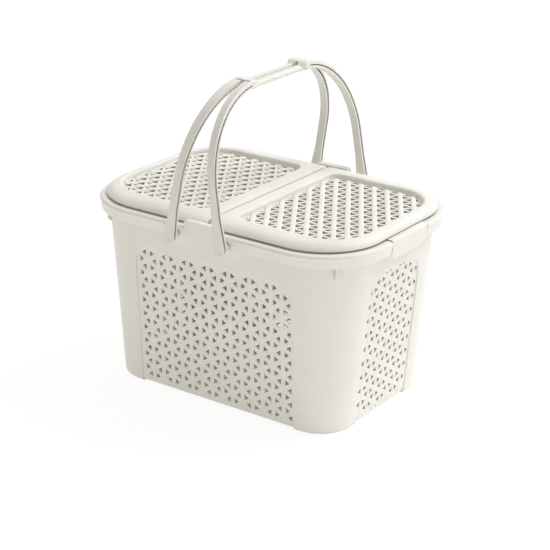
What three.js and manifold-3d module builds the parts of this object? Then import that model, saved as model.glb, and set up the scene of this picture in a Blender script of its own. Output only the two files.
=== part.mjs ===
// Moulded picnic basket: a tub with pierced panels, two lid flaps and two folding carry handles.
// Millimetres, +Z up. X runs along the length, Y across the width, origin under the middle of the tub.

import * as THREE from 'three';
import { mergeVertices } from 'three/addons/utils/BufferGeometryUtils.js';
import Module from 'manifold-3d';

const wasm = await Module();
wasm.setup();

// Rim of the tub
const rimHalfLength = 198.7;
const rimHalfWidth = 142;
const rimCornerRadius = 86;
const rimHeight = 235.5;
const rimEdgeRound = 3;
const flangeThickness = 2.6;
const skirtDrop = 16;
const skirtThickness = 2.6;
const skirtDraft = 2;

// Tub wall, which narrows from the neck under the rim down to the feet
const neckInsetEnd = 13.1;
const neckInsetSide = 16;
const neckCornerRadius = 64;
const taperEnd = 19.6;
const taperSide = 15;
const footCornerRadius = 45;
const wallThickness = 3;
const floorThickness = 2.6;
const footHeight = 2.5;
const bottomEdgeRound = 4;
const floorEdgeRound = 4;

// Recessed pierced panels, one in each side of the tub
const panelRecess = 1.8;
const panelThickness = 2.5;
const panelLap = 3;
const panelCornerRadius = 25;
const sidePanelInset = 6;
const sidePanelDrop = 49.5;
const endPanelInset = 11;
const endPanelDrop = 45.5;

// Triangular lattice: straight bars, and struts that zigzag between them
const wallBarPitch = 24.5;
const wallBarPeriod = 30;
const wallBarWidth = 9.6;
const wallLatticeEdge = 4;
const lidBarPitch = 21.6;
const lidBarPeriod = 27.2;
const lidBarWidth = 8;
const lidLatticeEdge = 3;

// Lid flaps, which rest on the ledge of the rim and meet at the middle
const ledgeWidth = 8.6;
const lidSeatGap = 0.3;
const lidGap = 0.8;
const lidHeight = 10.5;
const lidWall = 2.4;
const lidInnerCornerRadius = 9;
const lidBorderEnd = 17;
const lidBorderSide = 30;
const lidBorderMiddle = 23;
const lidRecessDepth = 6;
const lidRecessSlope = 1;
const lidRecessEndRadius = 48;
const lidRecessMiddleRadius = 14;
const lidCrown = 10;

// Lid hinges: pins at the ends of each lid's inner border turn in an ear on each long side of the rim
const hingeOffset = 9;
const hingeRise = 4;
const hingePinRadius = 2;
const hingePinLength = 5;
const earHalfLength = 25;
const earRise = 8;
const earCornerRadius = 5;
const earClearance = 0.8;
const pocketClearance = 1.2;
const runningClearance = 0.3;

// Latch tongues at the ends of the lids, each in a pocket of the skirt
const latchHalfWidth = 38.5;
const latchTipHalfWidth = 33;
const latchDrop = 23.5;
const latchThickness = 2.6;
const latchPocketDepth = 3.4;
const latchClearance = 0.5;

// Carry handles
const pivotOffset = 36.5;
const pivotDrop = 11.5;
const bossReach = 0.3;
const bossHalfLength = 20;
const bossTipHalfLength = 12;
const bossDrop = 25;
const bossRound = 4;
const hubRadius = 6.2;
const hubLength = 6;
const handlePinRadius = 4;
const handlePinLength = 6;
const handleFootRadius = 7.5;
const handleFootLength = 34;
const legWidth = 10.2;
const legThickness = 7;
const legDraft = 1;
const shoulderRise = 111.2;
const shoulderThickness = 9;
const grooveDepth = 3;
const innerFlange = 1.4;
const outerFlange = 2.2;
const outerFlangeTop = 6.2;
const gripHalfLength = 52;
const gripWidth = 8;
const gripHeight = 7;
const gripDrop = 2.7;
const gripInset = 3;
const collarGap = 0.3;
const collarLength = 8;
const collarWidth = 14.2;
const collarRise = 0.5;
const collarRound = 3;
const archOffset = 8.4;
const handleNestGap = 3.1;

// Ribs under the rim at the four corners
const cornerRibThickness = 4;
const cornerRibReach = 5;
const cornerRibDrop = 30;

// Smoothness of arcs
const cornerSteps = 7;
const smallCornerSteps = 3;
const roundSteps = 3;
const archSteps = 4;
const pinSides = 12;
const edgeShare = 0.3;
const crownShares = [0, 0.35, 0.7, 1];
const overlap = 1;
const weldDistance = 1e-4;

// Sizes that follow from the ones above
const neckHalfLength = rimHalfLength - neckInsetEnd;
const neckHalfWidth = rimHalfWidth - neckInsetSide;
const footHalfLength = neckHalfLength - taperEnd;
const footHalfWidth = neckHalfWidth - taperSide;
const floorHeight = footHeight + floorThickness;
const skirtBottom = rimHeight - skirtDrop;
const flangeBottom = rimHeight - flangeThickness;
const lidHalfLength = rimHalfLength - ledgeWidth;
const lidHalfWidth = rimHalfWidth - ledgeWidth;
const lidCornerRadius = rimCornerRadius - ledgeWidth;
const lidBottom = rimHeight + lidSeatGap;
const lidTop = lidBottom + lidHeight;
const lidFloorTop = lidTop - lidRecessDepth;
const hingeHeight = rimHeight + hingeRise;
const earInner = lidHalfWidth + earClearance;
const pivotHeight = rimHeight - pivotDrop;
const bossFace = rimHalfWidth + bossReach;
const legInner = bossFace + runningClearance + hubLength;
const handleReach = rimHalfLength + handleNestGap + gripHeight / 2 + gripDrop - pivotOffset;
const handleLean = Math.asin((pivotOffset - archOffset) / handleReach);
const archHeight = pivotHeight + handleReach * Math.cos(handleLean);
const gripMiddleHeight = archHeight - gripDrop;
const shoulderStart = handleReach + shoulderThickness / 2 - shoulderRise;

const ivory = { color: 0xdbd8cd, roughness: 0.45, metalness: 0 };

// A closed solid from a geometry class
function solidOf(geometry) {
  const bare = geometry.clone();
  bare.deleteAttribute('normal');
  bare.deleteAttribute('uv');
  const merged = mergeVertices(bare, weldDistance);
  return new wasm.Manifold(new wasm.Mesh({
    numProp: 3,
    vertProperties: new Float32Array(merged.attributes.position.array),
    triVerts: new Uint32Array(merged.index.array),
  }));
}

// The geometry of a finished solid
function geometryOf(solid) {
  const { vertProperties, triVerts } = solid.getMesh();
  const geometry = new THREE.BufferGeometry();
  geometry.setAttribute('position', new THREE.BufferAttribute(new Float32Array(vertProperties), 3));
  geometry.setIndex(new THREE.BufferAttribute(new Uint32Array(triVerts), 1));
  return geometry;
}

function meshOf(solid, name) {
  const geometry = geometryOf(solid);
  geometry.computeVertexNormals();
  const mesh = new THREE.Mesh(geometry, new THREE.MeshStandardMaterial(ivory));
  mesh.name = name;
  return mesh;
}

// Points round a rectangle with rounded corners, counter-clockwise from the back right corner. The two
// corners of an end share a radius and a number of steps.
function roundedRing({ left, right, front, back }, z, rightRadius, leftRadius, leftSteps = cornerSteps) {
  const corners = [
    [right - rightRadius, back - rightRadius, rightRadius, cornerSteps],
    [left + leftRadius, back - leftRadius, leftRadius, leftSteps],
    [left + leftRadius, front + leftRadius, leftRadius, leftSteps],
    [right - rightRadius, front + rightRadius, rightRadius, cornerSteps],
  ];
  return corners.flatMap(([x, y, radius, steps], corner) => Array.from({ length: steps + 1 }, (_, step) => {
    const angle = (corner + step / steps) * Math.PI / 2;
    return new THREE.Vector3(x + radius * Math.cos(angle), y + radius * Math.sin(angle), z);
  }));
}

// A ring centred on the tub
function tubRing(halfLength, halfWidth, radius, z) {
  const box = { left: -halfLength, right: halfLength, front: -halfWidth, back: halfWidth };
  return roundedRing(box, z, radius, radius);
}

// The outside of the tub wall at a height, moved inwards by an inset
function wallRing(z, inset = 0) {
  const share = z / rimHeight;
  return tubRing(
    THREE.MathUtils.lerp(footHalfLength, neckHalfLength, share) - inset,
    THREE.MathUtils.lerp(footHalfWidth, neckHalfWidth, share) - inset,
    THREE.MathUtils.lerp(footCornerRadius, neckCornerRadius, share) - inset,
    z,
  );
}

// The outline of the rim, moved inwards by an inset
function rimRing(inset, z) {
  return tubRing(rimHalfLength - inset, rimHalfWidth - inset, rimCornerRadius - inset, z);
}

// A loft through rings of equal count, which either closes on its first ring or ends in two flat faces
function loft(rings, closed = false) {
  const count = rings[0].length;
  const positions = rings.flat().flatMap((point) => point.toArray());
  const faces = [];
  const bands = closed ? rings.length : rings.length - 1;
  for (let band = 0; band < bands; band += 1) {
    const low = band * count;
    const high = ((band + 1) % rings.length) * count;
    for (let point = 0; point < count; point += 1) {
      const next = (point + 1) % count;
      faces.push(low + point, low + next, high + next);
      faces.push(low + point, high + next, high + point);
    }
  }
  const last = (rings.length - 1) * count;
  for (let point = 1; point + 1 < count && !closed; point += 1) {
    faces.push(0, point + 1, point);
    faces.push(last, last + point, last + point + 1);
  }
  const geometry = new THREE.BufferGeometry();
  geometry.setAttribute('position', new THREE.Float32BufferAttribute(positions, 3));
  geometry.setIndex(faces);
  return geometry;
}

function extrude(shape, depth, curveSegments = roundSteps) {
  return new THREE.ExtrudeGeometry(shape, { depth, bevelEnabled: false, curveSegments });
}

// A box between two corners
function block(low, high) {
  const size = new THREE.Vector3().subVectors(high, low);
  const geometry = new THREE.BoxGeometry(size.x, size.y, size.z);
  const middle = new THREE.Vector3().addVectors(low, high).multiplyScalar(0.5);
  return geometry.translate(middle.x, middle.y, middle.z);
}

// A round pin along Y between two distances from the middle
function pinAlongY(radius, x, z, from, to) {
  const geometry = new THREE.CylinderGeometry(radius, radius, to - from, pinSides);
  return geometry.translate(x, (from + to) / 2, z);
}

// A shape drawn in X and Z, made solid between two distances along Y
function slabAlongY(shape, from, to) {
  const geometry = extrude(shape, to - from);
  geometry.rotateX(Math.PI / 2);
  return geometry.translate(0, to, 0);
}

// A shape drawn in Y and Z, made solid between two distances along X
function slabAlongX(shape, from, to) {
  const geometry = extrude(shape, to - from, archSteps);
  geometry.rotateX(Math.PI / 2);
  geometry.rotateZ(Math.PI / 2);
  return geometry.translate(from, 0, 0);
}

// The same form turned half a turn about Z, for the opposite side
function opposite(geometry) {
  return geometry.clone().rotateZ(Math.PI);
}

function polygon(points) {
  return new THREE.Shape(points.map(([x, y]) => new THREE.Vector2(x, y)));
}

// Triangles of a lattice that fills a rectangle, each drawn in by half a bar. The bars run along Y about
// one pitch apart, and keep says whether a corner may be cut.
function latticeTriangles({ halfWidth, low, high }, pitch, period, barWidth, keep) {
  const columns = Math.max(1, Math.round(2 * halfWidth / pitch));
  const rows = Math.max(1, Math.round((high - low) / period));
  const width = 2 * halfWidth / columns;
  const halfRise = (high - low) / rows / 2;
  const inradius = width * halfRise / (halfRise + Math.hypot(width, halfRise));
  const shrink = 1 - barWidth / 2 / inradius;
  const triangles = [];
  for (let column = 0; column < columns; column += 1) {
    for (let half = 1; half < 2 * rows; half += 1) {
      const toward = (column + half) % 2 === 0 ? 1 : -1;
      const base = -halfWidth + (toward > 0 ? column : column + 1) * width;
      const middle = low + half * halfRise;
      const centre = new THREE.Vector2(base + toward * inradius, middle);
      const corners = [
        new THREE.Vector2(base, middle - halfRise),
        new THREE.Vector2(base + toward * width, middle),
        new THREE.Vector2(base, middle + halfRise),
      ].map((corner) => corner.sub(centre).multiplyScalar(shrink).add(centre));
      if (corners.every(keep)) {
        triangles.push(new THREE.Shape(corners));
      }
    }
  }
  return triangles;
}

// A flat plate on the XY plane with holes through it
function piercedPlate(outline, holes, thickness) {
  const cutters = extrude(holes, thickness + 2 * overlap).translate(0, 0, -overlap);
  return geometryOf(solidOf(extrude(outline, thickness)).subtract(solidOf(cutters)));
}

// Whether a point is clear of the rounded corners of a rectangle, lower and upper
function insideCorners(point, { halfWidth, low, high }, lowRadius, highRadius) {
  const corners = [[lowRadius, low + lowRadius - point.y], [highRadius, point.y - high + highRadius]];
  return corners.every(([radius, beyondY]) => {
    const beyondX = Math.abs(point.x) - (halfWidth - radius);
    return beyondX < 0 || beyondY < 0 || Math.hypot(beyondX, beyondY) < radius;
  });
}

// A panel's outline: upright sides and rounded upper corners
function panelShape(halfWidth, low, high, radius) {
  const shape = new THREE.Shape();
  shape.moveTo(-halfWidth, low);
  shape.lineTo(halfWidth, low);
  shape.lineTo(halfWidth, high - radius);
  shape.absarc(halfWidth - radius, high - radius, radius, 0, Math.PI / 2, false);
  shape.absarc(-halfWidth + radius, high - radius, radius, Math.PI / 2, Math.PI, false);
  return shape;
}

// Stands a solid drawn on the XY plane against a sloping wall, with Z as the way out of the wall
function onWall(geometry, footDistance, taper, turn) {
  const slope = Math.atan2(taper, rimHeight);
  geometry.rotateX(Math.PI / 2 + slope);
  geometry.translate(0, -footDistance, 0);
  return geometry.rotateZ(turn);
}

// One wall's panel: the cut that takes the wall away, and the pierced plate that laps behind its edges
function wallPanel(halfWidth, height, footDistance, taper, turn) {
  const slopeRatio = Math.hypot(taper, rimHeight) / rimHeight;
  const top = height * slopeRatio;
  const cutDepth = panelRecess + panelThickness / 2;
  const cut = extrude(panelShape(halfWidth, -overlap, top, panelCornerRadius), cutDepth + overlap);
  cut.translate(0, 0, -cutDepth);
  const field = {
    halfWidth: halfWidth - wallLatticeEdge,
    low: floorHeight + wallLatticeEdge,
    high: top - wallLatticeEdge,
  };
  const keep = (point) => insideCorners(point, field, 0, panelCornerRadius - wallLatticeEdge);
  const outline = panelShape(halfWidth + panelLap, footHeight, top + panelLap, panelCornerRadius + panelLap);
  const triangles = latticeTriangles(field, wallBarPitch, wallBarPeriod, wallBarWidth, keep);
  const plate = piercedPlate(outline, triangles, panelThickness);
  plate.translate(0, 0, -panelRecess - panelThickness);
  return [cut, plate].map((geometry) => solidOf(onWall(geometry, footDistance, taper, turn)));
}

// Tub: wall, floor and rim as one shell
function tubShell() {
  return solidOf(loft([
    wallRing(0, bottomEdgeRound),
    wallRing(bottomEdgeRound * edgeShare, bottomEdgeRound * edgeShare),
    wallRing(bottomEdgeRound),
    wallRing(flangeBottom),
    rimRing(skirtThickness + rimEdgeRound / 2, flangeBottom),
    rimRing(skirtThickness + skirtDraft, skirtBottom),
    rimRing(skirtDraft, skirtBottom),
    rimRing(0, rimHeight - rimEdgeRound),
    rimRing(rimEdgeRound * edgeShare, rimHeight - rimEdgeRound * edgeShare),
    rimRing(rimEdgeRound, rimHeight),
    wallRing(rimHeight, wallThickness),
    wallRing(floorHeight + floorEdgeRound, wallThickness),
    wallRing(floorHeight, wallThickness + floorEdgeRound),
  ]));
}

// Space under the tub between its four corner feet
function underside() {
  const sideSpan = footHalfLength - footCornerRadius - sidePanelInset;
  const endSpan = footHalfWidth - footCornerRadius - endPanelInset;
  const along = block(
    new THREE.Vector3(-sideSpan, -rimHalfWidth, -overlap),
    new THREE.Vector3(sideSpan, rimHalfWidth, footHeight),
  );
  const across = block(
    new THREE.Vector3(-rimHalfLength, -endSpan, -overlap),
    new THREE.Vector3(rimHalfLength, endSpan, footHeight),
  );
  return solidOf(along).add(solidOf(across));
}

// A rib between the wall and the skirt at each corner of the rim
function cornerRibs() {
  const ribs = [];
  for (const [sideX, sideY] of [[1, 1], [-1, 1], [-1, -1], [1, -1]]) {
    const low = flangeBottom - cornerRibDrop;
    const middle = low / rimHeight;
    const radius = THREE.MathUtils.lerp(footCornerRadius, neckCornerRadius, middle);
    const cornerX = THREE.MathUtils.lerp(footHalfLength, neckHalfLength, middle) - radius;
    const cornerY = THREE.MathUtils.lerp(footHalfWidth, neckHalfWidth, middle) - radius;
    const rib = block(
      new THREE.Vector3(radius - wallThickness / 2, -cornerRibThickness / 2, low),
      new THREE.Vector3(radius + cornerRibReach, cornerRibThickness / 2, flangeBottom + overlap),
    );
    rib.rotateZ(Math.atan2(sideY, sideX));
    rib.translate(sideX * cornerX, sideY * cornerY, 0);
    ribs.push(solidOf(rib));
  }
  return ribs;
}

// A boss on the skirt that carries one foot of a handle, at the back of the rim
function handleBoss(x) {
  const bottom = rimHeight - bossDrop;
  const top = rimHeight - flangeThickness / 2;
  const shape = new THREE.Shape();
  shape.moveTo(x + bossHalfLength, top);
  shape.lineTo(x - bossHalfLength, top);
  shape.lineTo(x - bossHalfLength, skirtBottom);
  shape.lineTo(x - bossTipHalfLength, bottom + bossRound);
  shape.quadraticCurveTo(x - bossTipHalfLength, bottom, x - bossTipHalfLength + bossRound, bottom);
  shape.lineTo(x + bossTipHalfLength - bossRound, bottom);
  shape.quadraticCurveTo(x + bossTipHalfLength, bottom, x + bossTipHalfLength, bottom + bossRound);
  shape.lineTo(x + bossHalfLength, skirtBottom);
  return slabAlongY(shape, neckHalfWidth - wallThickness / 2, bossFace);
}

function handleBore(x) {
  const bottom = bossFace - handlePinLength - runningClearance;
  return pinAlongY(handlePinRadius + runningClearance, x, pivotHeight, bottom, bossFace + overlap);
}

// The raised ear on the back of the rim with a hole for one pin of each lid, level with the bosses on each
// side of it, and the front of the skirt below it
function hingeEar() {
  const low = rimHeight - flangeThickness / 2;
  const high = rimHeight + earRise;
  const ear = new THREE.Shape();
  ear.moveTo(-earHalfLength, low);
  ear.lineTo(earHalfLength, low);
  ear.lineTo(earHalfLength, high - earCornerRadius);
  ear.quadraticCurveTo(earHalfLength, high, earHalfLength - earCornerRadius, high);
  ear.lineTo(-earHalfLength + earCornerRadius, high);
  ear.quadraticCurveTo(-earHalfLength, high, -earHalfLength, high - earCornerRadius);
  const front = block(
    new THREE.Vector3(-pivotOffset, rimHalfWidth - skirtDraft - skirtThickness / 2, skirtBottom),
    new THREE.Vector3(pivotOffset, bossFace, low + overlap),
  );
  return [slabAlongY(ear, earInner, bossFace), front];
}

// The pocket in the ledge and wall where the inner borders of the lids dip as they open
function hingePocket() {
  const reach = Math.hypot(hingeOffset - lidGap / 2, hingeHeight - lidBottom);
  const depth = hingeHeight - reach - pocketClearance;
  const halfLength = hingeOffset + pocketClearance + lidWall;
  return block(
    new THREE.Vector3(-halfLength, neckHalfWidth - 2 * wallThickness, depth),
    new THREE.Vector3(halfLength, earInner, rimHeight + overlap),
  );
}

// A pocket in the end of the skirt that takes a latch tongue, and the wall behind it
function latchPocket() {
  const halfWidth = latchHalfWidth + latchClearance;
  const back = rimHalfLength - latchPocketDepth;
  const wall = block(
    new THREE.Vector3(back - skirtThickness, -halfWidth - skirtThickness, skirtBottom),
    new THREE.Vector3(back, halfWidth + skirtThickness, flangeBottom + flangeThickness / 2),
  );
  const cut = block(
    new THREE.Vector3(back, -halfWidth, skirtBottom - overlap),
    new THREE.Vector3(rimHalfLength + overlap, halfWidth, rimHeight + overlap),
  );
  return { wall, cut };
}

function makeTub() {
  const sideHalf = footHalfLength - footCornerRadius - sidePanelInset;
  const endHalf = footHalfWidth - footCornerRadius - endPanelInset;
  const sideTop = rimHeight - sidePanelDrop;
  const endTop = rimHeight - endPanelDrop;
  const panels = [
    wallPanel(sideHalf, sideTop, footHalfWidth, taperSide, 0),
    wallPanel(endHalf, endTop, footHalfLength, taperEnd, Math.PI / 2),
    wallPanel(sideHalf, sideTop, footHalfWidth, taperSide, Math.PI),
    wallPanel(endHalf, endTop, footHalfLength, taperEnd, -Math.PI / 2),
  ];
  let tub = tubShell();
  for (const [cut, plate] of panels) {
    tub = tub.subtract(cut).add(plate);
  }
  for (const rib of cornerRibs()) {
    tub = tub.add(rib);
  }
  const ears = hingeEar();
  const pocket = hingePocket();
  const latch = latchPocket();
  for (const turned of [(geometry) => geometry, opposite]) {
    tub = tub.add(solidOf(turned(latch.wall))).subtract(solidOf(turned(latch.cut)));
    tub = tub.subtract(solidOf(turned(pocket)));
    for (const piece of ears) {
      tub = tub.add(solidOf(turned(piece)));
    }
  }
  for (const x of [-pivotOffset, pivotOffset]) {
    const boss = handleBoss(x);
    const bore = handleBore(x);
    for (const turned of [(geometry) => geometry, opposite]) {
      tub = tub.add(solidOf(turned(boss))).subtract(solidOf(turned(bore)));
    }
  }
  const socketEnd = lidHalfWidth + hingePinLength + runningClearance;
  for (const x of [-hingeOffset, hingeOffset]) {
    const radius = hingePinRadius + runningClearance;
    const socket = pinAlongY(radius, x, hingeHeight, lidHalfWidth, socketEnd);
    tub = tub.subtract(solidOf(socket)).subtract(solidOf(opposite(socket)));
  }
  return tub.subtract(underside());
}

// Outline of the right lid, moved inwards by an inset
function lidRing(inset, z) {
  const box = {
    left: lidGap / 2 + inset,
    right: lidHalfLength - inset,
    front: -lidHalfWidth + inset,
    back: lidHalfWidth - inset,
  };
  const outer = lidCornerRadius - inset;
  const inner = Math.max(lidInnerCornerRadius - inset, lidInnerCornerRadius / 2);
  return roundedRing(box, z, outer, inner, smallCornerSteps);
}

// Outline of the right lid's sunk floor, moved outwards by a margin
function lidFloorRing(margin, z) {
  const box = {
    left: lidBorderMiddle - margin,
    right: lidHalfLength - lidBorderEnd + margin,
    front: -lidHalfWidth + lidBorderSide - margin,
    back: lidHalfWidth - lidBorderSide + margin,
  };
  const outer = lidRecessEndRadius + margin;
  const inner = lidRecessMiddleRadius + margin;
  return roundedRing(box, z, outer, inner, smallCornerSteps);
}

// The rolled border falls from its crown to the seat in a quarter ellipse
function lidCrownRing(share, shrink) {
  const angle = share * Math.PI / 2;
  const inset = shrink + (lidCrown - shrink) * (1 - Math.cos(angle));
  return lidRing(inset, lidBottom + (lidHeight - shrink) * Math.sin(angle));
}

// Right lid's border, hollow underneath, round the opening that its floor fills
function lidBorder() {
  return solidOf(loft([
    lidFloorRing(0, lidFloorTop - lidWall / 2),
    lidFloorRing(lidWall, lidFloorTop - lidWall),
    lidFloorRing(lidWall + lidRecessSlope, lidTop - lidWall),
    ...crownShares.toReversed().map((share) => lidCrownRing(share, lidWall)),
    ...crownShares.map((share) => lidCrownRing(share, 0)),
    lidFloorRing(lidRecessSlope, lidTop),
  ], true));
}

// Right lid's sunk floor, pierced by a lattice with its bars along X
function lidFloor() {
  const field = {
    halfWidth: lidHalfWidth - lidBorderSide - lidLatticeEdge,
    low: lidBorderMiddle + lidLatticeEdge,
    high: lidHalfLength - lidBorderEnd - lidLatticeEdge,
  };
  const lowRadius = lidRecessMiddleRadius - lidLatticeEdge;
  const highRadius = lidRecessEndRadius - lidLatticeEdge;
  const keep = (point) => insideCorners(point, field, lowRadius, highRadius);
  const outline = new THREE.Shape(lidFloorRing(lidWall / 2, 0).map(({ x, y }) => new THREE.Vector2(-y, x)));
  const triangles = latticeTriangles(field, lidBarPitch, lidBarPeriod, lidBarWidth, keep);
  const floor = piercedPlate(outline, triangles, lidWall);
  floor.rotateZ(-Math.PI / 2);
  return solidOf(floor.translate(0, 0, lidFloorTop - lidWall));
}

// Latch tongue: a plate under the lid's border that reaches over the ledge and hangs in the skirt's pocket
function latchTongue() {
  const outer = rimHalfLength - (latchPocketDepth - latchThickness) / 2;
  const inner = outer - latchThickness;
  const tip = rimHeight - latchDrop;
  const root = block(
    new THREE.Vector3(lidHalfLength - lidWall, -latchHalfWidth, lidBottom),
    new THREE.Vector3(outer, latchHalfWidth, lidBottom + latchThickness),
  );
  const tongue = slabAlongX(polygon([
    [-latchHalfWidth, lidBottom + latchThickness],
    [-latchHalfWidth, skirtBottom],
    [-latchTipHalfWidth, tip],
    [latchTipHalfWidth, tip],
    [latchHalfWidth, skirtBottom],
    [latchHalfWidth, lidBottom + latchThickness],
  ]), inner, outer);
  return solidOf(root).add(solidOf(tongue));
}

// Right lid with its latch tongue and hinge pins
function makeLid() {
  const pinRoot = lidHalfWidth - 2 * lidWall;
  const pinTip = lidHalfWidth + hingePinLength;
  const backPin = pinAlongY(hingePinRadius, hingeOffset, hingeHeight, pinRoot, pinTip);
  const frontPin = pinAlongY(hingePinRadius, hingeOffset, hingeHeight, -pinTip, -pinRoot);
  return lidBorder()
    .add(lidFloor())
    .add(latchTongue())
    .add(solidOf(backPin))
    .add(solidOf(frontPin));
}

// One leg and shoulder of the handle in the plane of its arch. Both edges are depths from the inner face,
// the first along the leg and the second at the top, where the arch is thicker. The leg is straight from its
// start to the top of the foot, then drafts in to the shoulder.
function legBand([legInside, topInside], [legOutside, topOutside], start) {
  const shape = new THREE.Shape();
  const rise = (depth) => shoulderRise - shoulderThickness + depth;
  const across = (depth) => legInner + depth - legDraft - gripHalfLength;
  shape.moveTo(legInner + legInside, start);
  shape.lineTo(legInner + legOutside, start);
  shape.lineTo(legInner + legOutside, handleFootLength);
  shape.lineTo(legInner + legOutside - legDraft, shoulderStart);
  shape.absellipse(gripHalfLength, shoulderStart, across(legOutside), rise(topOutside), 0, Math.PI / 2, false, 0);
  shape.lineTo(gripHalfLength, shoulderStart + rise(topInside));
  shape.absellipse(gripHalfLength, shoulderStart, across(legInside), rise(topInside), Math.PI / 2, 0, true, 0);
  shape.lineTo(legInner + legInside, handleFootLength);
  return shape;
}

// A leg, and the groove between its two flanges on each side
function handleLeg() {
  const whole = legBand([0, 0], [legThickness, shoulderThickness], handleFootLength - overlap);
  const grooveTop = [legThickness - outerFlange, shoulderThickness - outerFlangeTop];
  const groove = legBand([innerFlange, innerFlange], grooveTop, handleFootLength - 2 * overlap);
  const side = legWidth / 2;
  return {
    leg: slabAlongX(whole, -side, side),
    grooves: [
      slabAlongX(groove, side - grooveDepth, side + overlap),
      slabAlongX(groove, -side - overlap, grooveDepth - side),
    ],
  };
}

// Outline of a foot: a round tip that narrows to the leg, drawn in by an inset
function footShape(inset) {
  const radius = handleFootRadius - inset;
  const half = legWidth / 2 - inset;
  const angle = Math.asin((radius - half) / handleFootLength);
  const shape = new THREE.Shape();
  shape.moveTo(half, handleFootLength);
  shape.lineTo(-half, handleFootLength);
  shape.absarc(0, 0, radius, Math.PI - angle, 2 * Math.PI + angle, false);
  return shape;
}

// The foot at the end of a leg: two flanges and the web between them, its hub and the pin that turns in the boss
function handleFoot() {
  const hubFace = legInner - hubLength;
  const legOuter = legInner + legThickness;
  return [
    slabAlongY(footShape(0), legInner, legInner + innerFlange),
    slabAlongY(footShape(grooveDepth), legInner, legOuter),
    slabAlongY(footShape(0), legOuter - outerFlange, legOuter),
    pinAlongY(hubRadius, 0, 0, hubFace, legInner + innerFlange / 2),
    pinAlongY(handlePinRadius, 0, 0, hubFace - handlePinLength, legInner),
  ];
}

// Section of a grip: flat towards the other handle, round on the outside
function gripSection() {
  const inner = collarGap / 2 + gripInset;
  const radius = gripHeight / 2;
  const shape = new THREE.Shape();
  shape.moveTo(inner, gripMiddleHeight + radius);
  shape.lineTo(inner, gripMiddleHeight - radius);
  shape.absarc(inner + gripWidth - radius, gripMiddleHeight, radius, -Math.PI / 2, Math.PI / 2, false);
  return shape;
}

// Section of the collar where an arm meets the grip; its flat side is the stop against the other handle
function collarSection() {
  const inner = collarGap / 2;
  const outer = inner + collarWidth;
  const low = gripMiddleHeight - gripHeight / 2 - collarRise;
  const high = archHeight + shoulderThickness / 2 + collarRise;
  const shape = new THREE.Shape();
  shape.moveTo(inner, high);
  shape.lineTo(inner, low);
  shape.lineTo(outer - collarRound, low);
  shape.quadraticCurveTo(outer, low, outer, low + collarRound);
  shape.lineTo(outer, high - collarRound);
  shape.quadraticCurveTo(outer, high, outer - collarRound, high);
  return shape;
}

// Right handle, leaning in until its collars meet the left one's
function makeHandle() {
  const seat = (geometry) => {
    geometry.rotateY(-handleLean);
    return solidOf(geometry.translate(pivotOffset, 0, pivotHeight));
  };
  const { leg, grooves } = handleLeg();
  const collarEnd = gripHalfLength + collarLength;
  let handle = solidOf(slabAlongY(gripSection(), -collarEnd, collarEnd));
  for (const turned of [(geometry) => geometry.clone(), opposite]) {
    let side = seat(turned(leg));
    for (const groove of grooves) {
      side = side.subtract(seat(turned(groove)));
    }
    handle = handle.add(side);
    for (const piece of handleFoot()) {
      handle = handle.add(seat(turned(piece)));
    }
  }
  for (const [from, to] of [[-collarEnd, -gripHalfLength], [gripHalfLength, collarEnd]]) {
    handle = handle.add(solidOf(slabAlongY(collarSection(), from, to)));
  }
  return handle;
}

const basket = new THREE.Group();
basket.add(meshOf(makeTub(), 'tub'));

const lid = makeLid();
const handle = makeHandle();
const rightSide = new THREE.Group();
rightSide.add(meshOf(lid, 'lid_right'), meshOf(handle, 'handle_right'));
const leftSide = new THREE.Group();
leftSide.add(meshOf(lid, 'lid_left'), meshOf(handle, 'handle_left'));
leftSide.rotation.z = Math.PI;
basket.add(rightSide, leftSide);

export default basket;
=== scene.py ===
import bpy
import bmesh
import math
from math import cos, pi, sin
from mathutils import Matrix, Vector


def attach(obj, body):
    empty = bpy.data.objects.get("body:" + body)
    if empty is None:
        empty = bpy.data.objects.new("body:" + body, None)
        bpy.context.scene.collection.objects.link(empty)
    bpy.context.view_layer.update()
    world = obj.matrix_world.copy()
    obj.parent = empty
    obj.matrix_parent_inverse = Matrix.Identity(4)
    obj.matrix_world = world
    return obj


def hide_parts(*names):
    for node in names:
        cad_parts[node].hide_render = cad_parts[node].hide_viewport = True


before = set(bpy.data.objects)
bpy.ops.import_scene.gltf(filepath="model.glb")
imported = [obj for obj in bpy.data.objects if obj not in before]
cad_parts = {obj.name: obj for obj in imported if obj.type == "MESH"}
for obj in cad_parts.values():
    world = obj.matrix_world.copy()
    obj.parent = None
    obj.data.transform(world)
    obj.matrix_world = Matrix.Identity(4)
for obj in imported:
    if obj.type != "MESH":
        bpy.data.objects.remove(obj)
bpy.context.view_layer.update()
print("frame loaded:", ", ".join(sorted(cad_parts)))

mm = 0.001  # sizes below are in millimetres
sharpAngle = math.radians(38)  # edges steeper than this stay crisp
weldGap = 0.002 * mm
slack = 0.01  # for comparing lengths
beyond = 400.0  # past every outline
upright = Matrix.Rotation(pi / 2, 4, "X")  # stands a flat plate on its edge


# small helpers

def between(a, b, share):
    return a + (b - a) * share


def pointOn(p, q, share):
    return tuple(between(a, b, share) for a, b in zip(p, q))


def edgesOf(points):
    return zip(points, points[1:] + points[:1])


def quarterTurns(steps=4):
    return [pi / 2 * k / steps for k in range(steps + 1)]


def arcPoints(x, y, radius, start, steps=6):
    return [(x + radius * cos(start + t), y + radius * sin(start + t)) for t in quarterTurns(steps)]


def sideVectors(side):
    # side 0 is the front; along runs counter-clockwise, out points away from the basket
    turn = side * pi / 2
    along = Vector((cos(turn), sin(turn), 0))
    return along, Vector((along.y, -along.x, 0))


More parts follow.
